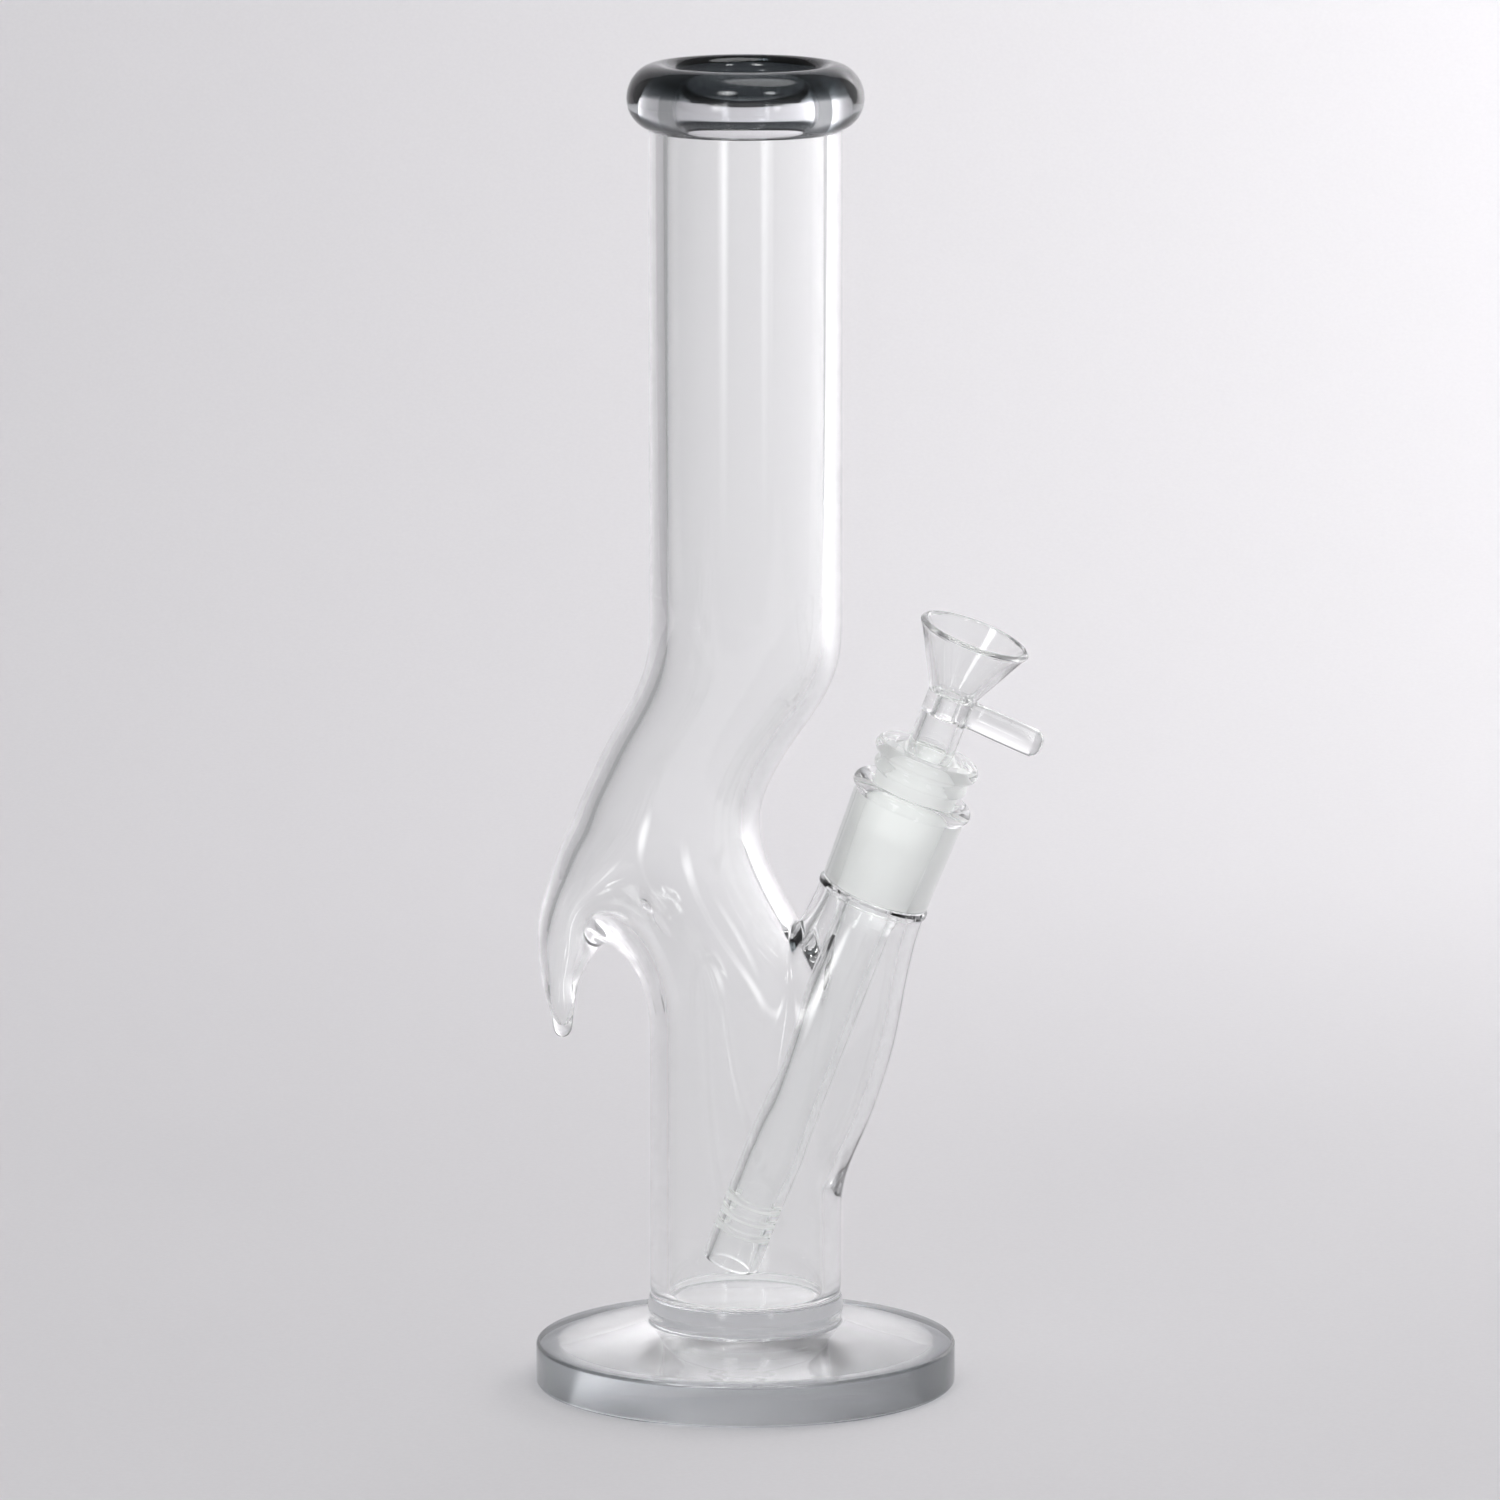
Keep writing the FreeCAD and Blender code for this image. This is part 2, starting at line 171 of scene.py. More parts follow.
def lathe(name, corners, materials, placement=None):
    """Turns a closed outline about Z. materials maps each finish used to its material."""
    sides = ROUND_STEPS
    outline, finishes = rounded(corners)
    keep = [i for i in range(len(outline)) if np.linalg.norm(outline[i] - outline[i - 1]) > 1e-5]
    outline, finishes = outline[keep], [finishes[i] for i in keep]
    following = np.roll(outline, -1, axis=0)
    area = np.sum(outline[:, 0] * following[:, 1] - following[:, 0] * outline[:, 1])
    ahead = following - outline
    inward = np.stack([-ahead[:, 1], ahead[:, 0]], 1) * math.copysign(WELD_GAP, area)
    inward /= np.linalg.norm(ahead, axis=1)[:, None]
    for i in range(len(outline)):
        if finishes[(i + 1) % len(outline)] == WELD:
            outline[i] += inward[i]
            outline[(i + 1) % len(outline)] += inward[i]
    order = list(materials)
    turns = np.arange(sides) * 2 * math.pi / sides
    points, rows = [], []
    for r, z in outline:
        if r < 1e-6:
            rows.append([len(points)])
            points.append((0.0, 0.0, z))
        else:
            rows.append(list(range(len(points), len(points) + sides)))
            points += [(r * math.cos(t), r * math.sin(t), z) for t in turns]
    faces, slots = [], []
    for i, row in enumerate(rows):
        after = rows[(i + 1) % len(rows)]
        if len(row) == 1 and len(after) == 1:
            continue
        slot = order.index(finishes[(i + 1) % len(rows)])
        for j in range(sides):
            k = (j + 1) % sides
            face = [row[j % len(row)], row[k % len(row)], after[k % len(after)], after[j % len(after)]]
            face = list(dict.fromkeys(face))
            faces.append(face if area > 0 else face[::-1])
            slots.append(slot)
    points = np.array(points)
    if placement is not None:
        turned = np.array(placement)
        points = points @ turned[:3, :3].T + turned[:3, 3]
    made = finish_mesh(name, points, faces, slots, [materials[key] for key in order])
    marks = made.data.attributes.new("welded", "FLOAT", "FACE")
    marks.data.foreach_set("value", [float(order[slot] == WELD) for slot in slots])
    return made


# ---- smooth blown shapes ------------------------------------------------------------------------
def spline(knots, values):
    """A natural cubic spline through the values, flat and constant past its two ends."""
    knots, values = np.array(knots, float), np.array(values, float)
    gaps = np.diff(knots)
    slopes = np.diff(values) / gaps
    count = len(knots)
    system, wanted = np.zeros((count, count)), np.zeros(count)
    system[0, 0], system[0, 1], wanted[0] = 2 * gaps[0], gaps[0], 6 * slopes[0]
    system[-1, -1], system[-1, -2], wanted[-1] = 2 * gaps[-1], gaps[-1], -6 * slopes[-1]
    for i in range(1, count - 1):
        system[i, i - 1], system[i, i], system[i, i + 1] = gaps[i - 1], 2 * (gaps[i - 1] + gaps[i]), gaps[i]
        wanted[i] = 6 * (slopes[i] - slopes[i - 1])
    bend = np.linalg.solve(system, wanted)

    def stretch(at):
        """The last knot before each place, the gap after it, the way past it and the slope there."""
        at = np.clip(at, knots[0], knots[-1])
        i = np.clip(np.searchsorted(knots, at) - 1, 0, count - 2)
        return i, gaps[i], at - knots[i], slopes[i] - gaps[i] * (2 * bend[i] + bend[i + 1]) / 6

    def value(at):
        """The spline's value at each place."""
        i, gap, along, left = stretch(at)
        cubic = along * (bend[i + 1] - bend[i]) / (6 * gap)
        return values[i] + along * (left + along * (bend[i] / 2 + cubic))

    def slope(at):
        """The spline's slope at each place, which is none past the ends."""
        inside = (at > knots[0]) & (at < knots[-1])
        i, gap, along, left = stretch(at)
        return np.where(inside, left + along * (bend[i] + along * (bend[i + 1] - bend[i]) / (2 * gap)), 0.0)

    return value, slope


# The bent tube's centre line: height and centre x. It leans back and comes upright again.
BEND = [(70, 0.0), (77, 0.0), (84, -0.5), (92, -3.0), (101, -8.5), (110, -14.0), (119, -17.5), (127, -17.5),
        (135, -14.5), (144, -9.5), (152, -4.5), (160, -1.0), (168, 0.0), (175, 0.0)]
bend_centre, bend_centre_slope = spline([z for z, _ in BEND], [x for _, x in BEND])

# Bending pinches the tube a little in the plane of the bend.
PINCH_Z, PINCH_REACH, PINCH = 133.0, 14.0, 1.2

# The glass swells front and back where the neck runs into the chamber.
ELBOW_Z, ELBOW_REACH, ELBOW_SWELL = 108.0, 17.0, 1.6


def tube_distance(p):
    """Distance out from the main tube's outer face, to first order."""
    above_pinch = (p[:, 2] - PINCH_Z) / PINCH_REACH
    pinch = PINCH * np.exp(-above_pinch ** 2)
    half, centre = TUBE_R - pinch, bend_centre(p[:, 2])
    half_slope = 2 * above_pinch * pinch / PINCH_REACH
    above_elbow = (p[:, 2] - ELBOW_Z) / ELBOW_REACH
    swell = ELBOW_SWELL * np.exp(-above_elbow ** 2)
    width = TUBE_R + swell
    u, v = (p[:, 0] - centre) / half, p[:, 1] / width
    spread = np.maximum(np.hypot(u, v), 0.05)
    along_z = -(u / spread) * (bend_centre_slope(p[:, 2]) + u * half_slope) / half
    along_z += (v / spread) * v * 2 * above_elbow * swell / ELBOW_REACH / width
    steepness = np.sqrt((u / spread / half) ** 2 + (v / spread / width) ** 2 + along_z ** 2)
    return (spread - 1) / steepness


# The hook, root to tip: x, z, radius in the plane of the bend, half width along Y, wall. It is hollow,
# and its wall thins towards a solid tip.
HOOK = [(-17.0, 123.0, 17.0, 21.0, 4.0), (-26.0, 116.5, 15.0, 20.5, 4.0), (-33.0, 110.5, 10.5, 16.0, 3.5),
        (-40.0, 99.5, 7.0, 11.0, 2.5), (-41.5, 94.0, 5.5, 7.5, 2.0), (-42.5, 87.0, 3.5, 4.0, 1.5),
        (-42.0, 80.0, 2.5, 2.5, 1.0), (-42.0, 76.5, 2.0, 2.0, 2.5)]
HOOK_SAMPLES = 80
HOOK_X_MAX, HOOK_Z_MIN, HOOK_Z_MAX = 8.0, 60.0, 150.0
FAR = 40.0                     # distance given to points outside that room, where the hook plays no part
HOOK_SOFTNESS = 0.9            # balls whose distances differ by less than this share the surface
places = np.array([(x, z) for x, z, *_ in HOOK])
hook_lengths = np.concatenate([[0], np.cumsum(np.linalg.norm(np.diff(places, axis=0), axis=1))])
hook_x, hook_z = spline(hook_lengths, places[:, 0])[0], spline(hook_lengths, places[:, 1])[0]
hook_radius = {inner: spline(hook_lengths, [r - (wall if inner else 0) for _, _, r, _, wall in HOOK])[0]
               for inner in (False, True)}
hook_width = {inner: spline(hook_lengths, [w - (wall if inner else 0) for _, _, _, w, wall in HOOK])[0]
              for inner in (False, True)}


def hook_distance(p, inner):
    """Distance out from balls set along the hook, blended so that no crease runs between them."""
    samples = np.linspace(0, hook_lengths[-1], HOOK_SAMPLES)
    radius, width = hook_radius[inner](samples), np.maximum(hook_width[inner](samples), 0.01)
    # Near the surface this many balls share it, so each one shrinks to make up for the sum.
    sharing = np.sqrt(2 * math.pi * np.maximum(radius, 0.5) * HOOK_SOFTNESS) / samples[1]
    shrink = HOOK_SOFTNESS * np.log(np.maximum(sharing, 1))
    distance = np.full(len(p), FAR)
    near = (p[:, 0] < HOOK_X_MAX) & (p[:, 2] < HOOK_Z_MAX) & (p[:, 2] > HOOK_Z_MIN)
    q = p[near]
    total = np.zeros(len(q))
    for i, (x, z) in enumerate(zip(hook_x(samples), hook_z(samples))):
        flat = q[:, 1] * radius[i] / width[i]
        gap = np.sqrt((q[:, 0] - x) ** 2 + flat ** 2 + (q[:, 2] - z) ** 2) - radius[i] + shrink[i]
        total += np.exp(-gap / HOOK_SOFTNESS)
    distance[near] = -HOOK_SOFTNESS * np.log(np.maximum(total, 1e-30))
    return distance


# The side arm: place along the joint axis and radius. It widens down to where it joins the chamber.
ARM = [(6, 13.5), (14, 15.5), (22, 16.5), (30, 17.0), (38, 17.0), (46, 16.5), (54, 15.5), (62, 14.0),
       (70, 12.7), (76, 12.1), (84, 12.0)]
ARM_WALL = 3.0
ARM_FOOT = 8.0                 # the arm's closed lower end, hidden in the chamber
ARM_END = 78.2                 # the arm's top, just below the socket's weld ring
arm_radius, arm_radius_slope = spline([a[0] for a in ARM], [a[1] for a in ARM])


def arm_distance(p, inner):
    """Distance out from the side arm, which is turned about the joint axis and closed at its foot."""
    offset = p - AXIS_FOOT
    place = offset @ AXIS_WAY
    across = np.sqrt(np.maximum((offset ** 2).sum(1) - place ** 2, 0))
    wall = ARM_WALL if inner else 0.0
    side = (across - arm_radius(place) + wall) / np.sqrt(1 + arm_radius_slope(place) ** 2)
    return np.maximum(side, ARM_FOOT - place + wall)


# How softly the arm runs into the tube: along the seam, and in the crotch above the arm.
SEAM_BLEND, CROTCH_BLEND, CROTCH_BLEND_INSIDE = 1.2, 1.0, 2.6
CROTCH_X, CROTCH_Z, CROTCH_SPREAD = 14.0, 103.0, 9.0
SEAM_BEAD, SEAM_REACH = 0.12, 2.2

# How softly the hook runs into the tube: at its back, and round the arch between the two.
HOOK_BLEND, ARCH_BLEND = 0.8, 3.4
ARCH_X, ARCH_SPREAD = -27.0, 10.0
ARCH_HEIGHT, ARCH_HEIGHT_INSIDE = 97.0, 102.0


def blended(a, b, reach):
    """The nearer of two distances, with a soft hollow where they come together."""
    return np.minimum(a, b) - reach * np.log1p(np.exp(-np.abs(a - b) / reach))


def nearness(p, x, z, spread):
    """One at a line along Y, falling to nothing a few spreads away."""
    return np.exp(-((p[:, 0] - x) ** 2 + (p[:, 2] - z) ** 2) / (2 * spread ** 2))


def with_hook(trunk, p, inner):
    """The trunk and the hook as one: run together softly, and most of all round the arch."""
    height = ARCH_HEIGHT_INSIDE if inner else ARCH_HEIGHT
    near_arch = nearness(p, ARCH_X, height, ARCH_SPREAD)
    return blended(trunk, hook_distance(p, inner), HOOK_BLEND + (ARCH_BLEND - HOOK_BLEND) * near_arch)


def trunk_distance(tube, arm, p, crotch_blend):
    """The bent tube and the side arm as one, run together softly."""
    near_crotch = nearness(p, CROTCH_X, CROTCH_Z, CROTCH_SPREAD)
    return blended(tube, arm, SEAM_BLEND + (crotch_blend - SEAM_BLEND) * near_crotch)


def body_outside(p):
    """Below zero inside the body's outer skin. The seam round the arm stands up a little, unevenly."""
    tube, arm = tube_distance(p), arm_distance(p, False)
    seam = np.exp(-(tube ** 2 + arm ** 2) / (2 * SEAM_REACH ** 2))
    y, z = p[:, 1], p[:, 2]
    uneven = 0.55 + 0.25 * np.sin(y * 0.9 + z * 0.35) + 0.2 * np.sin(z * 0.8 - y * 0.5)
    return with_hook(trunk_distance(tube, arm, p, CROTCH_BLEND), p, False) - SEAM_BEAD * seam * uneven


def body_inside(p):
    """Below zero in the air inside the body."""
    tube, arm = tube_distance(p) + TUBE_WALL, arm_distance(p, True)
    return with_hook(trunk_distance(tube, arm, p, CROTCH_BLEND_INSIDE), p, True)


def gradient(field, p, step=0.03):
    """The field's gradient by central differences."""
    made = np.empty_like(p)
    for axis in range(3):
        shift = np.zeros(3)
        shift[axis] = step
        made[:, axis] = (field(p + shift) - field(p - shift)) / (2 * step)
    return made


def surface_net(field, low, high, step):
    """Points and four-sided faces on field = 0, from one point in each grid cell that it crosses."""
    counts = np.ceil((np.array(high) - low) / step).astype(int) + 1
    axes = [low[i] + step * np.arange(counts[i]) for i in range(3)]
    values = np.empty(counts)
    for i, x in enumerate(axes[0]):
        y, z = np.meshgrid(axes[1], axes[2], indexing="ij")
        sheet = np.stack([np.full(y.size, x), y.ravel(), z.ravel()], 1)
        values[i] = field(sheet).reshape(y.shape)
    cells = tuple(counts - 1)
    total, hits = np.zeros(cells + (3,)), np.zeros(cells)
    corners = [np.array(c) for c in np.ndindex(2, 2, 2)]

    def shifted(grid, by):
        """The grid's values at one corner of every cell."""
        return grid[tuple(slice(b, b + c) for b, c in zip(by, cells))]

    for a in corners:
        for axis in range(3):
            if a[axis]:
                continue
            b = a.copy()
            b[axis] = 1
            va, vb = shifted(values, a), shifted(values, b)
            crossed = (va < 0) != (vb < 0)
            share = np.where(crossed, va / np.where(crossed, va - vb, 1), 0)
            for i in range(3):
                total[..., i] += np.where(crossed, a[i] + (share if i == axis else 0), 0)
            hits += crossed
    used = hits > 0
    index = np.full(cells, -1)
    index[used] = np.arange(used.sum())
    points = (total[used] / hits[used][:, None] + np.argwhere(used)) * step + np.array(low)
    faces = []
    for axis in range(3):
        one, two = (axis + 1) % 3, (axis + 2) % 3
        before = values[tuple(slice(0, -1) if i == axis else slice(1, -1) for i in range(3))]
        after = values[tuple(slice(1, None) if i == axis else slice(1, -1) for i in range(3))]
        crossed = np.argwhere((before < 0) != (after < 0))
        rising = (before < 0)[tuple(crossed.T)]
        base = crossed.copy()
        base[:, one] += 1
        base[:, two] += 1
        corners_of = []
        for da, db in ((-1, -1), (0, -1), (0, 0), (-1, 0)):
            cell = base.copy()
            cell[:, one] += da
            cell[:, two] += db
            corners_of.append(index[tuple(cell.T)])
        quads = np.stack(corners_of, 1)
        quads[~rising] = quads[~rising][:, ::-1]
        faces.append(quads)
    return points, np.concatenate(faces)


def settled(field, points, faces, rounds=3):
    """Evens out the spacing of the points and puts them exactly on the surface."""
    starts = faces.ravel()
    ends = np.roll(faces, -1, axis=1).ravel()
    for turn in range(rounds + 1):
        if turn:
            total, count = np.zeros_like(points), np.zeros(len(points))
            np.add.at(total, starts, points[ends])
            np.add.at(count, starts, 1)
            np.add.at(total, ends, points[starts])
            np.add.at(count, ends, 1)
            points = 0.5 * points + 0.5 * total / count[:, None]
        for _ in range(2):
            slope = gradient(field, points)
            points = points - (field(points) / (slope ** 2).sum(1))[:, None] * slope
    return points


SKIN_STEP = 0.8                # spacing of the blown skins' points
WALL_CUT = FLOOR_TOP + 2.6     # the tube stands on the floor piece's short wall here
BLOWN_LOW = 36.0               # below this the chamber is a plain tube
BLOWN_TOP = 176.0              # above this the tube is straight
SPARE = 2.5                    # the skins run on this far past the planes that they are cut at
SKIN_LOW = (-49.5, -22.5, BLOWN_LOW - SPARE)
SKIN_HIGH = (44.0, 22.5, BLOWN_TOP + SPARE)


def cut_and_cap(bm, point, normal, chosen=None):
    """Cuts the skins at a plane, drops what lies along normal, and closes the wall's edge."""
    faces = [f for f in bm.faces if chosen is None or chosen(f)]
    edges = list(dict.fromkeys(e for f in faces for e in f.edges))
    verts = list(dict.fromkeys(v for f in faces for v in f.verts))
    cut = bmesh.ops.bisect_plane(bm, geom=verts + edges + faces, dist=1e-7, plane_co=point, plane_no=normal,
                                 clear_outer=True)
    rim = [e for e in cut["geom_cut"] if isinstance(e, bmesh.types.BMEdge)]
    filled = bmesh.ops.triangle_fill(bm, edges=rim, use_beauty=True)
    for face in filled["geom"]:
        if isinstance(face, bmesh.types.BMFace):
            face.material_index = 1
            if face.normal.dot(normal) < 0:
                face.normal_flip()


def blown_part():
    """The bent tube, hook and side arm as an outer and an inner skin, their ends closed by weld faces."""
    bm = bmesh.new()
    for field, flip in ((body_outside, False), (body_inside, True)):
        points, faces = surface_net(field, SKIN_LOW, SKIN_HIGH, SKIN_STEP)
        points = settled(field, points, faces)
        verts = [bm.verts.new(p) for p in points]
        for quad in faces:
            bm.faces.new([verts[i] for i in (quad[::-1] if flip else quad)])
    bm.normal_update()
    cut_and_cap(bm, Vector((0, 0, BLOWN_TOP - WELD_GAP)), Vector((0, 0, 1)))
    cut_and_cap(bm, Vector((0, 0, BLOWN_LOW + WELD_GAP)), Vector((0, 0, -1)))

    def on_arm_end(face):
        """The arm's top stretch, and nothing of the tube beside it."""
        offset = np.array(face.calc_center_median()) - AXIS_FOOT
        place = offset @ AXIS_WAY
        return place > ARM_END - 6 and np.linalg.norm(offset - place * AXIS_WAY) < 16

    cut_and_cap(bm, Vector(AXIS_FOOT + AXIS_WAY * (ARM_END - WELD_GAP)), Vector(AXIS_WAY), on_arm_end)
    bmesh.ops.delete(bm, geom=[v for v in bm.verts if not v.link_faces], context="VERTS")
    mesh = bpy.data.meshes.new("body_glass")
    bm.to_mesh(mesh)
    bm.free()
    return mesh


def true_normals(points):
    """Normals of the glass at points on either skin, from the fields themselves."""
    outer = np.abs(body_outside(points)) < np.abs(body_inside(points))
    normals = np.where(outer[:, None], gradient(body_outside, points), -gradient(body_inside, points))
    return normals / np.linalg.norm(normals, axis=1)[:, None]


def body_glass():
    """The blown part as a piece, shaded with the true normals of its skins."""
    mesh = blown_part()
    points = np.empty(len(mesh.vertices) * 3)
    mesh.vertices.foreach_get("co", points)
    points = points.reshape(-1, 3)
    normals = true_normals(points)
    mesh.vertices.foreach_set("co", (points * MM).ravel())
    mesh.polygons.foreach_set("use_smooth", np.ones(len(mesh.polygons), bool))
    mesh.materials.append(body_clear)
    mesh.materials.append(weld)
    mesh.update()
    mesh.normals_split_custom_set_from_vertices(normals.tolist())
    made = bpy.data.objects.new("body_glass", mesh)
    bpy.context.scene.collection.objects.link(made)
    return made


# ---- materials ----------------------------------------------------------------------------------
def new_material(name):
    """An empty material and its node tree."""
    material = bpy.data.materials.new(name)
    material.use_nodes = True
    tree = material.node_tree
    tree.nodes.clear()
    return material, tree


def add(tree, kind, **values):
    """A shader node with some of its inputs set by name."""
    node = tree.nodes.new(kind)
    for key, value in values.items():
        node.inputs[key.replace("_", " ")].default_value = value
    return node


MILK = (0.93, 0.936, 0.93, 1)


def glass_material(name, tint, roughness, waviness, absorption=None, density=0.0, milk=0.0):
    """Glass whose surface waves slightly, as flame-worked glass does, and that lamps shine through."""
    material, tree = new_material(name)
    link = tree.links.new
    place = tree.nodes.new("ShaderNodeTexCoord")
    smears = add(tree, "ShaderNodeTexNoise", Scale=38.0, Detail=3.0, Roughness=0.5)
    link(place.outputs["Object"], smears.inputs["Vector"])
    rough = add(tree, "ShaderNodeMapRange", To_Min=roughness * 0.6, To_Max=roughness * 1.4)
    link(smears.outputs["Fac"], rough.inputs["Value"])
    waves = add(tree, "ShaderNodeTexNoise", Scale=55.0, Detail=1.0)
    link(place.outputs["Object"], waves.inputs["Vector"])
    bump = add(tree, "ShaderNodeBump", Strength=waviness, Distance=0.0004)
    link(waves.outputs["Fac"], bump.inputs["Height"])
    glass = add(tree, "ShaderNodeBsdfPrincipled", IOR=1.473, Roughness=roughness)
    glass.inputs["Base Color"].default_value = (*tint, 1)
    glass.inputs["Transmission Weight"].default_value = 1.0
    link(rough.outputs["Result"], glass.inputs["Roughness"])
    if waviness:
        link(bump.outputs["Normal"], glass.inputs["Normal"])
    surface = glass.outputs[0]
    if milk:
        cloud = add(tree, "ShaderNodeBsdfTranslucent")
        cloud.inputs["Color"].default_value = MILK
        face = add(tree, "ShaderNodeBsdfDiffuse")
        face.inputs["Color"].default_value = MILK
        scatter = add(tree, "ShaderNodeMixShader", Fac=0.5)
        link(cloud.outputs[0], scatter.inputs[1])
        link(face.outputs[0], scatter.inputs[2])
        mixed = add(tree, "ShaderNodeMixShader", Fac=milk)
        link(surface, mixed.inputs[1])
        link(scatter.outputs[0], mixed.inputs[2])
        surface = mixed.outputs[0]
    see = tree.nodes.new("ShaderNodeLightPath")
    clear = tree.nodes.new("ShaderNodeBsdfTransparent")
    clear.inputs["Color"].default_value = (*[0.5 + 0.5 * c for c in tint], 1)
    shade = tree.nodes.new("ShaderNodeMixShader")
    link(see.outputs["Is Shadow Ray"], shade.inputs[0])
    link(surface, shade.inputs[1])
    link(clear.outputs[0], shade.inputs[2])
    out = tree.nodes.new("ShaderNodeOutputMaterial")
    link(shade.outputs[0], out.inputs["Surface"])
    if absorption:
        welded = tree.nodes.new("ShaderNodeAttribute")
        welded.attribute_name = "welded"
        open_air = tree.nodes.new("ShaderNodeBsdfTransparent")
        joined = tree.nodes.new("ShaderNodeMixShader")
        link(welded.outputs["Fac"], joined.inputs[0])
        link(shade.outputs[0], joined.inputs[1])
        link(open_air.outputs[0], joined.inputs[2])
        link(joined.outputs[0], out.inputs["Surface"])
        volume = add(tree, "ShaderNodeVolumeAbsorption", Density=density)
        volume.inputs["Color"].default_value = (*absorption, 1)
        link(volume.outputs[0], out.inputs["Volume"])
    return material


def weld_material(name):
    """The inner face between two welded pieces. There is no air there, so light goes straight on."""
    material, tree = new_material(name)
    clear = tree.nodes.new("ShaderNodeBsdfTransparent")
    clear.inputs["Color"].default_value = (1, 1, 1, 1)
    out = tree.nodes.new("ShaderNodeOutputMaterial")
    tree.links.new(clear.outputs[0], out.inputs["Surface"])
    return material


SMOKE = (0.30, 0.34, 0.36)
# The mouth ring's foot has far thinner smoke than its crown: painted light, for the bright band seen through the
# lower ring.
FOOT_SMOKE, MOUTH_SMOKE, MOUTH_FOOT_PAINTED_LIGHT_SMOKE = 92.0, 500.0, 14.0
CLEAR_TINT, FOOT_TINT, MOUTH_TINT = (0.99, 0.995, 0.992), (0.99, 0.99, 0.995), (0.98, 0.98, 0.99)
clear_glass = glass_material("clear_glass", CLEAR_TINT, 0.004, 0.02)
body_clear = glass_material("body_clear_glass", CLEAR_TINT, 0.004, 0.0)
smoke_glass = glass_material("smoke_glass", FOOT_TINT, 0.006, 0.02, SMOKE, FOOT_SMOKE)
ring_glass = glass_material("mouth_smoke_glass", MOUTH_TINT, 0.005, 0.0, SMOKE, MOUTH_SMOKE)
ground_glass = glass_material("ground_glass", CLEAR_TINT, 0.45, 0.25, milk=0.55)
worn_glass = glass_material("worn_glass", CLEAR_TINT, 0.22, 0.1)
# Pale smoke for the mouth ring's foot: painted light, for the bright band seen through the lower ring.
ring_foot_painted_light_glass = glass_material("mouth_pale_smoke_glass", MOUTH_TINT, 0.005, 0.0, SMOKE, MOUTH_FOOT_PAINTED_LIGHT_SMOKE)
weld = weld_material("weld_interface")

# What each finish is made of. A smoked piece has one glass all over, because it absorbs light within.
CLEAR_SET = {CLEAR: clear_glass, GROUND: ground_glass, WORN: worn_glass, WELD: weld}
BODY_SET = {CLEAR: body_clear, WELD: weld}
SMOKE_SET = {CLEAR: smoke_glass, WELD: smoke_glass}
RING_SET = {CLEAR: ring_glass, WELD: ring_glass}
# The ring foot's set carries the pale smoke that is painted light.
RING_FOOT_PAINTED_LIGHT_SET = {CLEAR: ring_foot_painted_light_glass, WELD: ring_foot_painted_light_glass}


# ---- pieces -------------------------------------------------------------------------------------
def stand_in(piece, body, slot, *nodes):
    """Rides a piece on its body in place of CAD nodes. slot is not used."""
    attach(piece, body)
    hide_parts(*nodes)
    return piece


def turned(name, outline, node, body="root", slot="clear_glass", materials=CLEAR_SET, placement=None):
    """Turns an outline and puts it in the place of one node."""
    used = {key: materials[key] for key in materials if any(c["finish"] == key for c in outline)}
    return stand_in(lathe(name, outline, used, placement), body, slot, node)


def straight_tube(name, low, high):
    """A plain length of the main tube between two welds."""
    outline = [corner(TUBE_BORE_R, low), corner(TUBE_R, low, 0, WELD), corner(TUBE_R, high),
               corner(TUBE_BORE_R, high, 0, WELD)]
    turned(name, outline, "body_tube", materials=BODY_SET)


FLARE = 0.5                    # the floor piece is this much wider than the tube at its foot


def foot_disc():
    """The clear disc: worn underneath where it stands, and rising in a hollow curve to the tube."""
    crown_r = TUBE_R + FLARE
    disc = [corner(0, 0), corner(CLEAR_FOOT_R, 0, 0, WORN), corner(CLEAR_FOOT_R, FOOT_EDGE, 0, WELD)]
    disc += curve([(CLEAR_FOOT_R, FOOT_EDGE), (36.0, FOOT_EDGE + 0.8), (30.0, FOOT_EDGE + 1.95),
                   (25.0, FOOT_EDGE + 3.15), (crown_r, FOOT_CROWN)])[1:]
    disc += [corner(0, FOOT_CROWN, 0, WELD)]
    turned("foot_disc_glass", disc, "foot_disc")


def foot_rim():
    """The smoked band round the disc."""
    rim = [corner(CLEAR_FOOT_R, 0, 0, WELD), corner(FOOT_R, 0, 1.1), corner(FOOT_R, FOOT_EDGE, 0.8),
           corner(CLEAR_FOOT_R, FOOT_EDGE)]
    turned("foot_smoke_rim_glass", rim, "foot_smoke_rim", slot="smoke_glass", materials=SMOKE_SET)


def tube_floor():
    """The chamber's thick floor, pinched in round its middle, with a short wall that the tube joins."""
    foot_r = TUBE_R + FLARE
    floor = [corner(0, FOOT_CROWN), corner(foot_r, FOOT_CROWN, 0, WELD)]
    floor += curve([(foot_r, FOOT_CROWN), (TUBE_R + 0.15, FOOT_CROWN + 0.9), (foot_r, FOOT_CROWN + 3.4),
                    (TUBE_R + 0.2, FLOOR_TOP - 0.2), (TUBE_R - 0.1, FLOOR_TOP + 0.5),
                    (TUBE_R, WALL_CUT - 0.6), (TUBE_R, WALL_CUT)])[1:]
    floor += [corner(TUBE_BORE_R, WALL_CUT, 0, WELD), corner(TUBE_BORE_R, FLOOR_TOP, 1.8),
              corner(0, FLOOR_TOP)]
    turned("tube_floor_glass", floor, "tube_floor")


RING_CREST_R = MOUTH_R - 6.6   # radius of the mouth ring's highest circle
RING_BELLY = 284.4             # height at which the ring is widest
SMOKE_LINE = RING_BELLY + 1.4  # the dark smoke stops here, at a weld; the pale smoke below it is painted light
